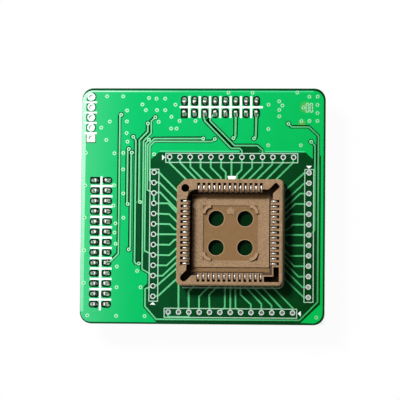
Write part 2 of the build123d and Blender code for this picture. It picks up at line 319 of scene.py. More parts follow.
pour_outline = [
    *arc(-34.35, -19.1, 2.5, 270, 180), *arc(-34.35, 32.95, 2.5, 180, 90), *arc(20.05, 32.95, 2.5, 90, 0),
    *arc(20.05, -19.1, 2.5, 0, -90), (17.2, -21.45), (21.95, -16.9), (21.95, 19.5), (20.0, 19.5),
    (20.0, 18.5), (18.2, 20.25), (6.9, 20.25), (6.9, 20.9), (6.2, 21.6), (1.2, 21.6), (1.9, 21.0),
    (2.4, 20.5), (2.4, 20.25), (-17.9, 20.25), (-19.8, 18.5), (-20.1, 18.1), (-20.1, 13.0), (-20.65, 12.4),
    (-20.65, 10.7), (-21.15, 10.2), (-21.15, -4.4), (-21.7, -4.9), (-21.7, -8.8), (-20.45, -9.9),
    (-20.45, -12.1), (-21.4, -13.0), (-21.4, -17.9), (-18.1, -21.6),
]
unpoured = [(-23.45, 7.6), (-22.0, 7.6), (-22.0, -7.9), (-22.3, -7.6), (-23.45, -6.6)]
last_x, last_y = corner_holes[-1]
clearings = [unpoured] + [disc(x, y, corner_clearance) for x, y in corner_holes[:-1]]
clearings.append(rounded_about(
    last_x, last_y, square_clearance, square_clearance, square_clearance_radius))
cut_sheet("copper_pour", [pour_outline, *clearings], 0, pour_thickness, pour)


# Tracks
# Etched copper tracks under the mask, paler than the pour. A pale strip along the pour's edges is a
# painted highlight, where the edge would catch the light. In the pour each track runs in a dark bare
# channel, darkened and set a little to the upper left as painted shade. Geometry nodes lay a flat
# strip along each route.
track_width, broad_width = 0.42, 0.54
channel_width, channel_broad = 0.94, 1.2
channel_lift, track_lift, shade_slip = 0.021, 0.024, 0.07
track_thickness, channel_thickness, highlight_thickness = 0.030, 0.003, 0.004
highlight_fade_rate, gap_mottle = 3, 0.2
track_left, track_right = (0.20, 0.74, 0.36), (0.03, 0.32, 0.09)
highlight_left, highlight_right = (0.50, 0.92, 0.64), (0.05, 0.60, 0.24)
gap_shade_green = (0.0006, 0.009, 0.003)

bus_routes = [
    [(-27.35, 29.45), (-27.65, 29.0), (-27.65, -4.8), (-28.8, -6.0), (-30.0, -7.1)],
    [(-25.35, 21.0), (-25.65, 20.6), (-25.65, 7.7), (-25.5, 7.4)],
    [(-24.6, 20.1), (-24.75, 19.7), (-24.75, -3.2), (-25.1, -3.8)],
    [(-24.3, 24.0), (-23.65, 23.1), (-23.65, -6.8), (-23.35, -7.3), (-22.6, -7.25)],
    [(-20.7, 27.3), (-20.75, 25.3), (-22.75, 23.15), (-22.75, 8.3), (-22.45, 7.9)],
    [(-18.85, 28.85), (-19.85, 27.9), (-19.85, 24.9), (-21.75, 22.9), (-21.75, -8.6), (-19.05, -10.16)],
    [(-20.4, 23.3), (-21.2, 22.4), (-21.2, -4.1), (-19.05, -5.08)],
    [(-7.0, 23.6), (-19.1, 23.55), (-20.7, 21.95), (-20.7, 10.9), (-19.05, 10.16)],
    [(-4.15, 23.5), (-4.8, 22.87), (-19.0, 22.87), (-20.15, 21.7), (-20.15, 13.2), (-19.05, 12.7)],
    [(-6.65, 30.1), (-6.95, 28.9), (-6.6, 27.9), (-0.1, 21.2), (2.0, 21.2), (2.54, 20.6), (2.54, 19.05)],
    [(-4.13, 30.1), (-5.35, 28.5), (-5.35, 27.95), (0.7, 21.9), (6.3, 21.9), (7.62, 20.8), (7.62, 19.05)],
    [(13.9, 27.3), (14.7, 26.5), (19.0, 26.5), (21.3, 24.3), (21.3, 17.0)],
    [(19.5, 22.9), (20.45, 21.9), (20.45, 17.0)],
]
broad_routes = [
    [(0.95, 30.1), (0.9, 24.2), (0.4, 23.7)],
    [(6.03, 30.1), (5.9, 24.1), (5.5, 23.65)],
]
broad_gap = [(-6.3, 28.4), (0.3, 21.55)]
bare_routes = [
    [(21.3, 17.0), (21.3, -16.4), (16.9, -20.85), (-18.2, -20.85), (-20.95, -17.7), (-20.95, -13.4),
     (-19.05, -12.7)],
    [(20.45, 17.0), (20.45, 1.1), (19.5, 0.2), (19.05, 0)],
    [(-19.05, 10.16), (-19.05, 7.62)],
    [(-10.16, -19.05), (-10.16, -20.2), (-15.24, -20.2), (-15.24, -19.05)],
]
north_fan = [
    (-15.24, [(-15.3, 17.6), (-11.1, 13.5)]), (-12.7, [(-12.7, 17.7), (-8.6, 13.5)]),
    (-10.16, [(-10.1, 16.6), (-7.0, 13.5)]), (-7.62, [(-7.6, 16.4), (-4.7, 13.5)]),
    (-5.08, [(-5.1, 16.5), (-2.6, 14.0), (-2.6, 13.2)]),
    (-2.54, [(-2.55, 16.4), (-1.4, 15.3), (-1.35, 13.2)]), (0, [(0, 14.3)]),
    (2.54, [(2.5, 15.9), (1.4, 14.8), (1.2, 13.2)]), (5.08, [(5.05, 16.4), (2.6, 13.9)]),
    (7.62, [(7.6, 16.9), (4.3, 13.6)]), (10.16, [(9.95, 17.2), (6.3, 13.6)]),
    (12.7, [(12.6, 17.7), (8.9, 13.9)]), (15.24, [(15.1, 17.7), (11.0, 13.6)]),
]
west_fan = [
    (15.24, [(-17.8, 15.2), (-13.3, 10.7)]), (12.7, [(-17.8, 12.8), (-13.3, 8.3)]),
    (10.16, [(-17.5, 10.3), (-13.3, 6.0)]), (7.62, [(-15.5, 7.6), (-13.3, 5.3)]),
    (5.08, [(-15.2, 4.95), (-13.3, 3.1)]), (2.54, [(-15.1, 2.5), (-13.8, 1.3), (-13.2, 1.15)]),
    (0, [(-13.2, 0)]), (-2.54, [(-15.1, -2.6), (-13.9, -1.4), (-13.2, -1.2)]),
    (-5.08, [(-15.1, -5.15), (-13.3, -3.4)]), (-7.62, [(-15.7, -7.65), (-13.3, -5.35)]),
    (-10.16, [(-16.7, -10.2), (-13.3, -6.9)]), (-12.7, [(-17.9, -12.5), (-13.3, -8.4)]),
    (-15.24, [(-17.8, -15.2), (-13.3, -11.0)]),
]
east_fan = [
    (15.24, [(17.8, 15.15), (13.6, 11.3)]), (12.7, [(17.8, 12.6), (13.1, 8.2)]),
    (10.16, [(16.9, 10.15), (13.1, 6.5)]), (7.62, [(15.7, 7.6), (13.1, 5.0)]),
    (5.08, [(14.9, 5.1), (13.0, 3.3)]), (2.54, [(15.0, 2.5), (13.9, 1.3), (13.1, 1.2)]), (0, [(13.1, 0)]),
    (-2.54, [(14.2, -2.6), (13.1, -1.5)]), (-5.08, [(14.6, -5.15), (13.1, -3.7)]),
    (-7.62, [(15.6, -7.65), (13.1, -5.1)]), (-10.16, [(16.6, -10.2), (13.1, -6.6)]),
    (-12.7, [(17.6, -12.8), (13.1, -8.4)]), (-15.24, [(17.9, -15.2), (13.1, -10.6)]),
]
south_fan = [
    (-12.7, [(-12.75, -12.6)]), (-10.16, [(-10.25, -13.9), (-9.3, -13.0)]),
    (-7.62, [(-7.7, -15.2), (-5.6, -13.2)]), (-5.08, [(-5.2, -14.8), (-3.6, -13.2)]),
    (-2.54, [(-2.0, -18.3), (-1.35, -17.9), (-1.35, -13.1)]), (0, [(0, -13.1)]),
    (2.54, [(2.0, -18.4), (1.3, -17.9), (1.2, -13.1)]),
    (5.08, [(5.05, -17.1), (2.5, -14.7), (2.45, -13.1)]),
    (7.62, [(7.6, -16.9), (4.2, -13.3)]), (10.16, [(10.1, -17.3), (6.1, -13.3)]),
    (12.7, [(12.6, -18.0), (8.1, -13.2)]), (15.24, [(15.3, -17.9), (10.7, -13.2)]),
]
ring_reach, ring_ways, ring_bore = 19.05, 13, 0.45
along = [(i - (ring_ways - 1) / 2) * pitch for i in range(ring_ways)]
ring_holes = [(step, side) for side in (-ring_reach, ring_reach) for step in along]
ring_holes += [(side, step) for side in (-ring_reach, ring_reach) for step in along]
tuck, hole_gap = 1.0, 0.6


def end_moved(route, reach):
    """Moves the last point of a route onward by reach, or back where reach is below zero."""
    before, last = Vector(route[-2]), Vector(route[-1])
    return route[:-1] + [tuple(last + (last - before).normalized() * reach)]


def under_socket(route):
    """Lengthens a route's last run, so that it ends under the chip socket."""
    return end_moved(route, tuck)


def clear_of_holes(route):
    """Stops a route short of the middle of any hole of the ring that it starts or ends in."""
    for _ in range(2):
        if any((Vector(route[-1]) - Vector(hole)).length < ring_bore for hole in ring_holes):
            route = end_moved(route, -hole_gap)
        route = route[::-1]
    return route


fan_routes = [under_socket([(hole, ring_reach), *run]) for hole, run in north_fan]
fan_routes += [under_socket([(hole, -ring_reach), *run]) for hole, run in south_fan]
fan_routes += [under_socket([(-ring_reach, hole), *run]) for hole, run in west_fan]
fan_routes += [under_socket([(ring_reach, hole), *run]) for hole, run in east_fan]
fan_routes = [clear_of_holes(route) for route in fan_routes]
bus_routes = [clear_of_holes(route) for route in bus_routes]
bare_routes = [clear_of_holes(route) for route in bare_routes]


def geometry_tree(name, inputs):
    """A geometry tree with named inputs. Returns it and its input wires, the shape's first."""
    tree = bpy.data.node_groups.new(name, "GeometryNodeTree")
    tree.interface.new_socket("Shape", in_out="OUTPUT", socket_type="NodeSocketGeometry")
    for label, kind in {"Shape": "Geometry", **inputs, "Finish": "Material"}.items():
        tree.interface.new_socket(label, in_out="INPUT", socket_type="NodeSocket" + kind)
    start = tree.nodes.new("NodeGroupInput")
    return tree, [Wire(tree, socket) for socket in start.outputs[:-1]]


def end_tree(shape, finish):
    """Every tree ends by making its copies real and giving them their finish."""
    real = shape.node("GeometryNodeRealizeInstances", sockets={"Geometry": shape})
    done = shape.node("GeometryNodeSetMaterial", sockets={"Geometry": real, "Material": finish})
    end = shape.tree.nodes.new("NodeGroupOutput")
    shape.tree.links.new(done.socket, end.inputs[0])


def grow(name, data, tree, finish, **values):
    """Runs a geometry tree on a curve or mesh, and returns the result as a plain mesh object."""
    source = add_object(name + "_source", data)
    modifier = source.modifiers.new(name, "NODES")
    modifier.node_group = tree
    sockets = {item.name: item.identifier for item in tree.interface.items_tree if item.in_out == "INPUT"}
    for label, value in {**values, "Finish": finish.material}.items():
        modifier[sockets[label.replace("_", " ")]] = value
    bpy.context.view_layer.update()
    shown = source.evaluated_get(bpy.context.evaluated_depsgraph_get())
    piece = add_object(name, bpy.data.meshes.new_from_object(shown))
    bpy.data.objects.remove(source)
    return piece


def sweep(path, width, thickness, capped=True):
    """A strip with a rectangular section along a path."""
    section = path.node("GeometryNodeCurvePrimitiveQuadrilateral", sockets={
        "Width": width, "Height": thickness})
    return path.node("GeometryNodeCurveToMesh", sockets={
        "Curve": path, "Profile Curve": section, "Fill Caps": capped})


def flat_at(shape, lift, thickness):
    """A shape with plain flat faces, moved up until its underside is at the height of lift."""
    shape = shape.node("GeometryNodeSetShadeSmooth", sockets={"Geometry": shape, "Shade Smooth": False})
    rise = shape.node("ShaderNodeCombineXYZ", sockets={2: lift + thickness / 2})
    return shape.node("GeometryNodeSetPosition", sockets={"Geometry": shape, "Offset": rise})


strip_tree, (shape, width, thickness, lift, skin_of) = geometry_tree(
    "strip_along_route", {"Width": "Float", "Thickness": "Float", "Lift": "Float"})
level = shape.node("GeometryNodeSetCurveNormal", {"mode": "Z_UP"}, {"Curve": shape})
end_tree(flat_at(sweep(level, width, thickness), lift, thickness), skin_of)


def lay(name, routes, finish, width, thickness, lift):
    """Lays flat strips along routes on the board. Every size is in millimetres."""
    curve = bpy.data.curves.new(name, "CURVE")
    curve.dimensions = "3D"
    for route in routes:
        add_line(curve, [on_board(x, y) for x, y in route])
    strips = grow(name, curve, strip_tree, finish, Width=width * mm, Thickness=thickness * mm,
                  Lift=lift * mm)
    hand_over(strips, "adapter", "board")


track = Finish("mask_over_track", roughness=0.15)
track.feed(Base_Color=track.greens(track_left, track_right, size=1.5, strength=0.2))
# Painted highlight: a pale strip along the pour's edges, palest at the upper left, where the edge would
# catch the light.
edge_highlight = Finish("pour_edge_highlight", roughness=0.15)
highlight_fade = edge_highlight.across() * highlight_fade_rate + edge_highlight.mottle(size=1.5, strength=0.2)
edge_highlight.feed(Base_Color=edge_highlight.mixed(highlight_fade, highlight_left, highlight_right))
# Bare gaps round tracks, vias and the header's pads. The gaps are real; their near-black colour is painted
# shade.
gap = Finish("etched_gap_in_painted_shade", roughness=0.14)
gap.feed(Base_Color=gap.mixed(gap.noise(0.8) * gap_mottle, gap_shade_green, bare_left))

outer_highlight = [(-36.95, -19.1), *arc(-34.45, 32.93, 2.5, 180, 90), (20.05, 35.43), (20.05, 35.08),
             *arc(-34.0, 33.05, 2.03, 90, 180), (-36.15, -19.1)]
inner_highlights = [[(-17.9, 20.26), (1.9, 20.26), (1.9, 20.6), (-17.6, 20.6)],
              [(8.2, 20.26), (18.1, 20.26), (17.8, 20.6), (8.2, 20.6)]]
cut_sheet("pour_edge_highlight", [outer_highlight, *inner_highlights], pour_thickness, pour_thickness + highlight_thickness, edge_highlight)
# Painted shade: the channels sit a little to the upper left of their tracks, so the dark shows wider on
# that side.
gap_routes = [[(x - shade_slip, y + shade_slip) for x, y in route] for route in bus_routes]
lay("track_channels", gap_routes, gap, channel_width, channel_thickness, channel_lift)
lay("broad_channels", broad_routes + [broad_gap], gap, channel_broad, channel_thickness, channel_lift)
lay("bus_tracks", bus_routes + bare_routes, track, track_width, track_thickness, track_lift)
lay("fan_tracks", fan_routes, track, track_width, track_thickness, lift=0)
lay("broad_tracks", broad_routes, track, broad_width, track_thickness, track_lift)


# Vias
# Small plated holes that join the copper on both faces, tented with mask so that only a pale
# ring and a dark dimple show. Geometry nodes put a ring and a dimple on each place, and a dark
# gap round those that end a track.
via_outer, via_hole, via_gap, via_thickness, via_lift = 0.47, 0.20, 0.70, 0.040, 0.018
via_gap_thickness, dimple_overlap, dimple_sink = 0.002, 0.01, 0.004
ring_sides, dot_sides = 20, 16
via_left, via_right = (0.42, 0.92, 0.55), (0.16, 0.60, 0.26)
via_dark, via_dark_green = (0.05, 0.06, 0.03), (0.10, 0.30, 0.12)
via_places = [
    (-30.9, 34.0), (-26.9, 34.0), (-20.5, 33.6), (-22.1, 32.0), (-21.25, 30.6), (-25.9, 30.5),
    (-30.15, 27.75), (-25.9, 27.8), (-32.25, 26.25), (-25.95, 24.9), (-30.95, 23.2), (-25.7, 22.8),
    (-36.0, 20.0), (-28.9, 19.9), (-26.7, 20.0), (-36.05, 11.95), (-28.9, 12.0), (-26.7, 15.95),
    (-26.6, 10.0), (-29.0, 7.0), (-36.1, 4.0), (-26.5, 4.0), (-28.45, 2.6), (-28.65, 0.35),
    (-28.35, -2.4), (-36.1, -4.05), (-28.0, -8.0), (-22.95, -9.05), (-36.1, -12.05), (-28.0, -13.1),
    (-22.05, -13.05), (-35.15, -20.05), (-28.0, -20.1), (-21.0, -20.1), (-18.65, 33.45), (-16.5, 33.45),
    (-13.95, 31.95), (-18.5, 30.6), (-16.45, 30.6), (-14.9, 28.95), (-12.9, 27.95), (-8.95, 27.95),
    (-18.05, 27.7), (-14.95, 26.05), (-13.6, 26.05), (-19.1, 19.7), (-0.9, 34.95), (5.05, 34.95),
    (9.0, 32.0), (9.0, 26.0), (9.0, 22.0), (11.6, 32.8), (12.4, 31.8), (11.65, 30.7), (11.65, 29.1),
    (16.05, 35.0), (19.0, 33.95), (21.05, 34.0), (18.55, 32.0), (19.5, 32.0), (17.6, 31.3), (18.5, 31.25),
    (19.5, 31.25), (18.5, 30.5), (19.5, 30.5), (21.0, 31.95), (21.0, 29.95), (21.0, 28.0), (19.05, 28.0),
    (17.1, 27.95), (17.0, 22.0), (21.05, -20.15),
]
track_vias = [
    (-27.35, 29.45), (-25.35, 21.0), (-25.5, 7.4), (-24.6, 20.1), (-25.1, -3.8), (-24.3, 24.0),
    (-22.6, -7.25), (-20.7, 27.3), (-22.45, 7.9), (-18.85, 28.85), (-20.4, 23.3), (-7.0, 23.6),
    (-4.15, 23.5), (0.4, 23.7), (5.5, 23.65), (13.9, 27.3), (19.5, 22.9),
]


def set_on_places(shape, form, lift, thickness):
    """Copies of a flat form on each place, with their undersides at the height of lift."""
    copies = shape.node("GeometryNodeInstanceOnPoints", sockets={"Points": shape, "Instance": form})
    copies = shape.node("GeometryNodeRealizeInstances", sockets={"Geometry": copies})
    return flat_at(copies, lift, thickness)


ring_tree, (shape, outer, inner, thickness, lift, skin_of) = geometry_tree(
    "ring_on_each_place", {"Outer": "Float", "Inner": "Float", "Thickness": "Float", "Lift": "Float"})
path = shape.node("GeometryNodeCurvePrimitiveCircle", sockets={
    "Resolution": ring_sides, "Radius": (outer + inner) / 2})
level = shape.node("GeometryNodeSetCurveNormal", {"mode": "Z_UP"}, {"Curve": path})
ring = sweep(level, outer - inner, thickness, capped=False)
ring = shape.node("GeometryNodeMergeByDistance", sockets={"Geometry": ring, "Distance": weld_distance})
end_tree(set_on_places(shape, ring, lift, thickness), skin_of)

dot_tree, (shape, radius, thickness, lift, skin_of) = geometry_tree(
    "dot_on_each_place", {"Radius": "Float", "Thickness": "Float", "Lift": "Float"})
dot = shape.node("GeometryNodeMeshCylinder", sockets={
    "Vertices": dot_sides, "Radius": radius, "Depth": thickness})
end_tree(set_on_places(shape, dot, lift, thickness), skin_of)


def spots(name, places, lift=0.0):
    """A mesh of loose points, lift above the board's top face, for copies to stand on."""
    mesh = bpy.data.meshes.new(name)
    mesh.from_pydata([on_board(x, y, lift) for x, y in places], [], [])
    return mesh


def rings(name, places, finish, outer, inner, thickness, lift):
    """One flat ring on each place. Every size is in millimetres."""
    piece = grow(name, spots(name, places), ring_tree, finish, Outer=outer * mm, Inner=inner * mm,
                 Thickness=thickness * mm, Lift=lift * mm)
    hand_over(piece, "adapter", "board")


def dots(name, places, finish, radius, thickness, lift):
    """One flat disc on each place. Every size is in millimetres."""
    piece = grow(name, spots(name, places), dot_tree, finish, Radius=radius * mm, Thickness=thickness * mm,
                 Lift=lift * mm)
    hand_over(piece, "adapter", "board")


via_ring = Finish("mask_over_via", roughness=0.2)
via_ring.feed(Base_Color=via_ring.greens(via_left, via_right, size=0.6, strength=0.3))
dimple = Finish("via_dimple", roughness=0.5)
dimple.feed(Base_Color=dimple.mixed(dimple.noise(0.3), via_dark, via_dark_green))
rings("via_rings", via_places + track_vias, via_ring, via_outer, via_hole, via_thickness, via_lift)
dots("via_dimples", via_places + track_vias, dimple, via_hole + dimple_overlap,
     via_thickness - dimple_sink, via_lift)
dots("via_gaps", track_vias, gap, via_gap, via_gap_thickness, channel_lift)


# Plated holes
# Open holes of the ring and of the corner row: a tinned pad on each face, and a tinned barrel
# between them. Geometry nodes turn a pad, or a barrel, on each place.
pad_thickness, pad_lift = 0.035, 0.022
ring_pad, corner_pad, corner_bore, plating = 0.66, 1.0, 0.55, 0.025
square_pad_half, square_pad_radius, square_pad_hole = 1.08, 0.08, 0.95
board_thickness = board_size.z
tin_colour, tin_dull = (0.66, 0.75, 0.68), (0.40, 0.49, 0.43)

tin = Finish("tinned_pad", metallic=0.4)
tin.surface(tin.noise(0.35, detail=4), tin_colour, tin_dull, smooth=0.35, rough=0.60)
tin.roughened(size=0.3, depth=0.006)

for name, holes, pad, bore in (("ring", ring_holes, ring_pad, ring_bore),
                               ("corner", corner_holes, corner_pad, corner_bore)):
    rings(name + "_pads", holes, tin, pad, bore - plating, pad_thickness, pad_lift)
    rings(name + "_pads_below", holes, tin, pad, bore - plating, pad_thickness,
          -board_thickness - pad_thickness)
    rings(name + "_barrels", holes, tin, bore, bore - plating, board_thickness, -board_thickness)
square_pad = rounded_about(last_x, last_y, square_pad_half, square_pad_half, square_pad_radius)
cut_sheet("corner_square_pad", [square_pad, disc(last_x, last_y, square_pad_hole)],
          0, pad_lift + pad_thickness, tin)


# Print
# White ink, screened over the mask: a box round each strip of holes with a triangle at its first
# hole, combs between the header's pads, and the chip socket's outline with its key mark.
ink_thickness, ink_lift = 0.012, 0.058
ink_fine, ink_frame, ink_corner, ink_bold = 0.24, 0.30, 0.45, 0.50
box_radius_outside, box_radius_inside, spine_over_bars = 0.15, 0.05, 0.002
ink_wear = 0.7
ink_white, ink_grey = (0.93, 0.96, 0.94), (0.72, 0.84, 0.78)
ink_green_left, ink_green_right = (0.38, 0.70, 0.52), (0.28, 0.46, 0.30)

ink = Finish("print_ink", roughness=0.75)
ink.feed(Base_Color=ink.mixed(ink.noise(0.4, detail=5) * ink_wear, ink_white, ink_grey))
thin_ink = Finish("thin_print_ink", roughness=0.7)
thin_ink.feed(Base_Color=thin_ink.greens(ink_green_left, ink_green_right, size=0.5, strength=0.3))


def ladder(start, end, step, count):
    """Parallel bars: the first runs from start to end, and each next one is a step further on."""
    return [[(x + step[0] * i, y + step[1] * i) for x, y in (start, end)] for i in range(count)]


strip_boxes = [(-16.2, 16.25, 17.7, 19.95), (-20.0, -17.85, -16.45, 16.0), (18.0, 20.2, -16.45, 16.05),
               (-16.2, 16.25, -20.35, -18.15)]
frames = []
for left, right, low, high in strip_boxes:
    for grown, radius in ((ink_fine / 2, box_radius_outside), (-ink_fine / 2, box_radius_inside)):
        frames.append(rounded(left - grown, right + grown, low - grown, high + grown, radius))
cut_sheet("strip_boxes", frames, 0, ink_lift + ink_thickness, thin_ink)
marks = [
    [(-17.1, 18.2), (-16.4, 18.95), (-17.1, 19.6)], [(-19.75, -17.3), (-18.35, -17.3), (-19.05, -16.65)],
    [(17.25, -19.9), (17.25, -18.6), (16.5, -19.2)], [(18.3, 16.95), (19.0, 16.25), (19.75, 16.95)],
    [(-0.7, 13.5), (0.9, 13.5), (1.2, 14.4), (-1.0, 14.4)],
]
cut_sheet("first_hole_marks", marks, 0, ink_lift + ink_thickness, ink)
left_bars = ladder((-34.65, 11.8), (-29.25, 11.8), step=(0, -pitch), count=12)
top_bars = ladder((-10.5, 28.7), (-10.5, 34.1), step=(pitch, 0), count=7)
lay("header_bars", left_bars + top_bars, ink, ink_bold, ink_thickness, ink_lift)
spines = [[(-32.05, 14.2), (-32.05, -18.8)], [(-12.9, 31.35), (7.6, 31.35)]]
lay("header_spines", spines, ink, ink_bold, ink_thickness, ink_lift + spine_over_bars)
corner_bars = ladder((-36.4, 32.5), (-33.35, 32.5), step=(0, -pitch), count=corner_ways - 1)
lay("corner_bars", corner_bars, ink, ink_corner, ink_thickness, ink_lift)
socket_frame = [[(13.05, 12.0), (13.05, -11.5), *arc(11.55, -11.55, 1.5, 0, -90), (-11.8, -13.05)]]
lay("socket_frame", socket_frame, thin_ink, ink_frame, ink_thickness, ink_lift)


# Socket strips
# Black glass-filled mouldings under the board, which plug onto the programmer's pins, with a
# stamped and tinned contact in every way. The CAD solids stay.
strip_black, strip_scuffed = (0.012, 0.012, 0.013), (0.035, 0.035, 0.036)
strip_plastic = Finish("black_moulding", ior=1.5)
scuffs = strip_plastic.noise(1.2, detail=6, roughness=0.7)
strip_plastic.surface(scuffs, strip_black, strip_scuffed, smooth=0.32, rough=0.62)
strip_plastic.roughened(size=0.12, depth=0.012)

contact_colour, contact_dull = (0.90, 0.88, 0.84), (0.62, 0.57, 0.50)
contact_tin = Finish("tinned_contact", metallic=0.8)
tarnish = contact_tin.noise(0.5, detail=4)
contact_tin.surface(tarnish, contact_colour, contact_dull, smooth=0.32, rough=0.52)
contact_tin.roughened(size=0.15, depth=0.004)

header_rows = {"left_header": ("west", "east"), "top_header": ("south", "north")}
for header, rows in header_rows.items():
    paint(header + "_housing", strip_plastic)
    for row in rows:
        paint(f"{header}_forks_{row}", contact_tin)


# Solder on the strips' tails
# Bright solder that wets a long pad and climbs the tail that comes up through it, hollow-sided
# and never twice quite the same. Geometry nodes grow one joint on each tail.
clearance_along, clearance_across = 2.5, 1.75
joint_height, joint_width, joint_length, joint_neck = 0.95, 1.4, 2.0, 0.42
joint_shift = 0.25
joint_hollow, joint_rings, joint_sides = 1.8, 8, 16
joint_least, joint_most, joint_seed = (0.93, 0.93, 0.88), (1.0, 1.0, 1.0), 3
square_gap_radius, round_gap_radius = 0.3, 0.75
solder_bright, solder_grey = (0.86, 0.86, 0.84), (0.50, 0.51, 0.50)

solder = Finish("bright_solder", metallic=1.0)
frost = solder.noise(0.4, detail=5)
solder.surface(frost, solder_bright, solder_grey, smooth=0.1, rough=0.4)
solder.roughened(size=0.5, depth=0.05)

joint_tree, (shape, height, foot, neck, stretch, shift, skin_of) = geometry_tree("solder_on_each_tail", {
    "Height": "Float", "Foot": "Float", "Neck": "Float", "Stretch": "Vector", "Shift": "Vector"})
top = shape.node("ShaderNodeCombineXYZ", sockets={2: height})
stem = shape.node("GeometryNodeCurvePrimitiveLine", sockets={"End": top})
stem = shape.node("GeometryNodeResampleCurve", sockets={"Curve": stem, "Count": joint_rings})
climbed = shape.node("GeometryNodeSplineParameter", output="Factor")
left_over = 1 - climbed
spread = neck + (foot - neck) * left_over.maths("POWER", joint_hollow)
circle = shape.node("GeometryNodeCurvePrimitiveCircle", sockets={
    "Resolution": joint_sides, "Radius": 1.0})
joint = shape.node("GeometryNodeCurveToMesh", sockets={
    "Curve": stem, "Profile Curve": circle, "Scale": spread, "Fill Caps": True})
spot = shape.node("GeometryNodeInputPosition")
flat = shape.node("ShaderNodeSeparateXYZ", sockets={0: spot}, output=2)
low = 1 - flat / height
drawn = shape.node("ShaderNodeVectorMath", {"operation": "MULTIPLY"}, {0: spot, 1: stretch})
moved = shape.node("ShaderNodeVectorMath", {"operation": "ADD"}, {0: drawn, 1: shift})
moved = shape.node("ShaderNodeVectorMath", {"operation": "SCALE"}, {0: moved, "Scale": low})
joint = shape.node("GeometryNodeSetPosition", sockets={"Geometry": joint, "Offset": moved})
joint = shape.node("GeometryNodeSetShadeSmooth", sockets={"Geometry": joint})
size = shape.node("FunctionNodeRandomValue", {"data_type": "FLOAT_VECTOR"}, {
    "Min": joint_least, "Max": joint_most, "Seed": joint_seed}, output="Value")
copies = shape.node("GeometryNodeInstanceOnPoints", sockets={
    "Points": shape, "Instance": joint, "Scale": size})
end_tree(copies, skin_of)

clearances = []
for header, rows in header_rows.items():
    across = header == "top_header"
    for row, sign in zip(rows, (-1, 1)):
        node = f"{header}_solder_{row}"
        low_corner, high_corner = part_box(node)
        forks_low, forks_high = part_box(f"{header}_forks_{row}")
        middle = (forks_low + forks_high) / 2
        length = (high_corner - low_corner).x if across else (high_corner - low_corner).y
        ways = round((length / mm - joint_width) / pitch) + 1
        steps = [(i - (ways - 1) / 2) * pitch for i in range(ways)]
        centre = (middle - ring_centre) / mm
        places = [(centre.x + s, centre.y) if across else (centre.x, centre.y + s) for s in steps]
        direction = Vector((0, sign, 0)) if across else Vector((sign, 0, 0))
        stretch = (joint_length / joint_width - 1) * Vector((abs(direction.x), abs(direction.y), 0))
        piece = grow(node + "_joints", spots(node, places), joint_tree, solder, Height=joint_height * mm,
                     Foot=joint_width / 2 * mm, Neck=joint_neck * mm, Stretch=stretch,
                     Shift=direction * joint_shift * mm)
        hand_over(piece, "adapter", "solder", node)
        gap_x, gap_y = clearance_along, clearance_across
        if across:
            gap_x, gap_y = gap_y, gap_x
        for i, (x, y) in enumerate(places):
            x, y = x + direction.x * joint_shift, y + direction.y * joint_shift
            square = sign == -1 and i == (0 if across else ways - 1)
            radius = square_gap_radius if square else round_gap_radius
            clearances.append(rounded_about(x, y, gap_x / 2, gap_y / 2, radius))
cut_sheet("header_clearances", clearances, pour_thickness, channel_lift + channel_thickness, gap)


# Chip socket
# Tan glass-filled moulding that stands on four feet: slotted walls, a stepped floor with four
# round holes, and corner pockets. The CAD solid stays, matt with a fine grain from its tool.
tan, tan_pale, tan_warm = (0.20, 0.122, 0.058), (0.38, 0.243, 0.135), (0.19, 0.098, 0.030)
recess_half, recess_top = 6.72, 1.53
core_hole_off, core_hole_rim = 3.55, 2.10
ledge_half, ledge_top, lug_low, lug_reach = 8.35, 1.35, 1.75, 9.0
floor_half, wall_outside, deep_below = 9.55, 12.3, 1.0
tan_in_deep_shade = (0.035, 0.018, 0.008)
core_hole_foot = 1.2
streak_share, speckle_share, tan_shift, recess_warmth = 0.7, 2.2, 0.95, 0.45
hole_rim_highlight_share, ledge_shade_share, lug_light_share, deep_shade_share = 0.8, 0.75, 0.55, 0.85
tan_smooth, tan_rough = 0.4, 0.6
socket_middle = (socket_low + socket_high) / 2

tan_plastic = Finish("tan_moulding", specular_ior_level=0.2)
streaks = tan_plastic.noise(1.6, detail=5, roughness=0.6)
speckle = tan_plastic.noise(0.35, detail=3, roughness=0.6)
grain = streaks * streak_share + speckle * speckle_share - tan_shift
body = tan_plastic.mixed(grain, tan, tan_pale)
off_x = (tan_plastic.part(0) - socket_middle.x / mm).maths("ABSOLUTE")
off_y = (tan_plastic.part(1) - socket_middle.y / mm).maths("ABSOLUTE")
out, up = off_x.maths("MAXIMUM", off_y), tan_plastic.part(2) - board_high.z / mm
recess = (out < recess_half) * (up < recess_top)
# Painted shade: the slots and corner pockets, more than deep_below under the top, are darkened almost to
# black.
deep_shade = (out > floor_half) * (out < wall_outside) * (up < (socket_high.z - board_high.z) / mm - deep_below)
body = tan_plastic.mixed(recess * (streaks * streak_share + recess_warmth), body, tan_warm)
round_x, round_y = off_x - core_hole_off, off_y - core_hole_off
# Painted highlight: a pale ring round each floor hole's edge and upper wall, as if the edge caught the
# light.
hole_rim_highlight = (round_x * round_x + round_y * round_y < core_hole_rim ** 2) * (up > core_hole_foot)
body = tan_plastic.mixed(hole_rim_highlight * hole_rim_highlight_share, body, tan_pale)
# Painted shade: the low ledges along the upper and lower sides of the floor are darker and warmer, as if
# the walls shaded them.
ledge_shade = (off_y > ledge_half) * (out < floor_half) * (up < ledge_top)
body = tan_plastic.mixed(ledge_shade * ledge_shade_share, body, tan_warm)
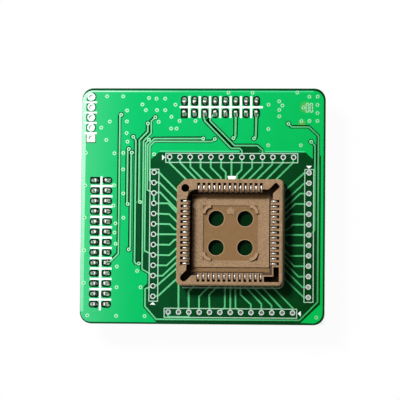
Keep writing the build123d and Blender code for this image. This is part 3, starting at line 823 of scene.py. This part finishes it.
# Painted light: what rises above lug_low within the floor, the lugs' tops, is paler as if lit.
lug_top_light = (up > lug_low) * (out < lug_reach)
body = tan_plastic.mixed(lug_top_light * lug_light_share, body, tan_pale)
tan_plastic.feed(Base_Color=tan_plastic.mixed(deep_shade * deep_shade_share, body, tan_in_deep_shade),
                 Roughness=streaks * (tan_rough - tan_smooth) + tan_smooth)
tan_plastic.roughened(size=0.10, depth=0.010, detail=3)
paint("socket_housing", tan_plastic)


# Chip socket's contacts
# Tinned spring strips, thirteen a side. Each arm rises in its slot, folds over the top and runs
# down to the nose that grips the chip. Geometry nodes bend one strip and copy it along a side.
contact_pitch, contacts = 1.27, 13
strip_metal, contact_width = 0.25, 0.5
bend_radius, bend_steps = 0.22, 4
arm_line = [(11.43, 1.35), (11.43, 4.46), (10.45, 4.52), (9.95, 2.9), (10.25, 2.0)]

arm_tree, (shape, width, thickness, bend, step, count, turn, centre, skin_of) = geometry_tree(
    "sprung_arms_of_one_side", {"Width": "Float", "Thickness": "Float", "Bend": "Float", "Step": "Float",
                                "Count": "Int", "Turn": "Float", "Centre": "Vector"})
smooth = shape.node("GeometryNodeFilletCurve", {"mode": "POLY"}, {
    "Curve": shape, "Count": bend_steps, "Radius": bend, "Limit Radius": True})
level = shape.node("GeometryNodeSetCurveNormal", {"mode": "FREE"}, {
    "Curve": smooth, "Normal": (1.0, 0.0, 0.0)})
arm = sweep(level, width, thickness)
first = shape.node("ShaderNodeCombineXYZ", sockets={0: (1 - count) / 2 * step})
offset = shape.node("ShaderNodeCombineXYZ", sockets={0: step})
line = shape.node("GeometryNodeMeshLine", sockets={
    "Count": count, "Start Location": first, "Offset": offset})
row = shape.node("GeometryNodeInstanceOnPoints", sockets={"Points": line, "Instance": arm})
row = shape.node("GeometryNodeRealizeInstances", sockets={"Geometry": row})
spin = shape.node("ShaderNodeCombineXYZ", sockets={2: turn})
end_tree(shape.node("GeometryNodeTransform", sockets={
    "Geometry": row, "Rotation": spin, "Translation": centre}), skin_of)

arm_centre = Vector((socket_middle.x, socket_middle.y, board_high.z))
for side, turn in (("north", 0), ("west", 90), ("south", 180), ("east", 270)):
    curve = bpy.data.curves.new("arm_line", "CURVE")
    curve.dimensions = "3D"
    add_line(curve, [(0, reach * mm, rise * mm) for reach, rise in arm_line])
    node = "socket_arms_" + side
    arms = grow(node + "_bent", curve, arm_tree, contact_tin, Width=contact_width * mm,
                Thickness=strip_metal * mm, Bend=bend_radius * mm, Step=contact_pitch * mm, Count=contacts,
                Turn=radians(turn), Centre=arm_centre)
    hand_over(arms, side + "_arms", "contact_metal", node)
    for form in ("outer", "inner"):
        paint(f"socket_{form}_tails_{side}", contact_tin)


# Solder under the socket
# Small cones of solder round the fifty-two tails where they come out of the board's underside.
# Alternate contacts stand in an outer and an inner row. The strips' joint tree grows them downwards.
outer_row, inner_row = 11.43, 8.89
tail_joint_height, tail_joint_foot, tail_joint_neck = 0.9, 0.75, 0.34
socket_centre = (socket_middle - ring_centre) / mm
tail_places = []
for i in range(contacts):
    off, reach = (i - (contacts - 1) / 2) * contact_pitch, inner_row if i % 2 else outer_row
    tail_places += [(off, reach), (off, -reach), (reach, off), (-reach, off)]
tail_places = [(socket_centre.x + x, socket_centre.y + y) for x, y in tail_places]
below = grow("socket_tail_joints", spots("socket_tail_joints", tail_places, -board_thickness),
             joint_tree, solder, Height=-tail_joint_height * mm, Foot=tail_joint_foot * mm,
             Neck=tail_joint_neck * mm, Stretch=Vector((0, 0, 0)), Shift=Vector((0, 0, 0)))
hand_over(below, "adapter", "solder")


# Studio
# White floor that curves up at its far edge, a lamp from the upper left, a broad dim panel beside
# it, and a weak fill. The floor glows white to the camera except under the board, where it goes
# dark towards the middle. The camera looks down from a little right of the middle.
floor_reach, sweep_radius = 1.4, 0.35
floor_white, floor_matt, sky_strength = 0.96, (0.85, 0.84, 0.83, 1), 0.03
blend_across, blend_along = 6.0, 3.6
sweep_steps, sweep_sides = 8, 48
camera_sensor, camera_lens = 36, 225
camera_place, camera_turn = (45.26, -40.02, 620.46), (3.918, 4.266, 0.546)

profile = [(0.0, 0.0), (floor_reach, 0.0)]
profile += [(floor_reach + sweep_radius * sin(pi / 2 * i / sweep_steps),
             sweep_radius * (1 - cos(pi / 2 * i / sweep_steps))) for i in range(1, sweep_steps + 1)]
corners = [(0.0, 0.0, 0.0)]
for reach, rise in profile[1:]:
    corners += [(reach * cos(2 * pi * i / sweep_sides), reach * sin(2 * pi * i / sweep_sides), rise)
                for i in range(sweep_sides)]
faces = [(0, 1 + i, 1 + (i + 1) % sweep_sides) for i in range(sweep_sides)]
for ring in range(len(profile) - 2):
    near, far = 1 + ring * sweep_sides, 1 + (ring + 1) * sweep_sides
    faces += [(near + i, far + i, far + (i + 1) % sweep_sides, near + (i + 1) % sweep_sides)
              for i in range(sweep_sides)]
floor_mesh = bpy.data.meshes.new("floor")
floor_mesh.from_pydata(corners, [], faces)
for face in floor_mesh.polygons:
    face.use_smooth = True
white = bpy.data.materials.new("white_floor")
white.use_nodes = True
white.node_tree.nodes.clear()
start = Wire(white.node_tree)
matt = start.node("ShaderNodeBsdfDiffuse", sockets={"Color": floor_matt})
glow = start.node("ShaderNodeEmission", sockets={"Color": (1, 1, 1, 1), "Strength": 1.0})
rays = [start.node("ShaderNodeLightPath", output=f"Is {kind} Ray")
        for kind in ("Camera", "Glossy", "Transmission")]
spot = start.node("ShaderNodeTexCoord", output="Object")
away = [start.node("ShaderNodeSeparateXYZ", sockets={0: spot}, output=axis) for axis in (0, 1)]
away = [far.maths("ABSOLUTE") - half for far, half in zip(away, (board_high.x, board_high.y))]
outside = (away[0] / (blend_across * mm)).maths("MAXIMUM", away[1] / (blend_along * mm)) + 1
outside = outside.maths("MAXIMUM", 0.0).maths("MINIMUM", 1.0)
seen = (rays[0] + rays[1] + rays[2]) * outside * floor_white
mixed = start.node("ShaderNodeMixShader", sockets={0: seen, 1: matt, 2: glow})
surface = white.node_tree.nodes.new("ShaderNodeOutputMaterial")
white.node_tree.links.new(mixed.socket, surface.inputs["Surface"])
floor_mesh.materials.append(white)
add_object("floor", floor_mesh)

world = bpy.data.worlds.new("studio")
scene.world = world
world.use_nodes = True
world.node_tree.nodes["Background"].inputs["Color"].default_value = (1, 1, 1, 1)
world.node_tree.nodes["Background"].inputs["Strength"].default_value = sky_strength


def lamp(name, place, size, watts):
    data = bpy.data.lights.new(name, "AREA")
    data.shape = "RECTANGLE"
    data.size, data.size_y = size
    data.energy = watts
    made = add_object(name, data)
    made.location = place
    made.rotation_euler = (-Vector(place)).to_track_quat("-Z", "Y").to_euler()


lamp("key", (-0.31, 0.34, 0.66), (0.20, 0.20), 7.6)
lamp("panel", (-0.46, 0.06, 0.60), (0.90, 0.50), 2.0)
lamp("fill", (0.60, -0.55, 0.35), (0.5, 0.3), 0.5)

camera_data = bpy.data.cameras.new("camera")
camera_data.sensor_width, camera_data.lens = camera_sensor, camera_lens
camera = add_object("camera", camera_data)
camera.location = Vector(camera_place) * mm
camera.rotation_euler = [radians(angle) for angle in camera_turn]
scene.camera = camera
scene.view_settings.view_transform = "Standard"
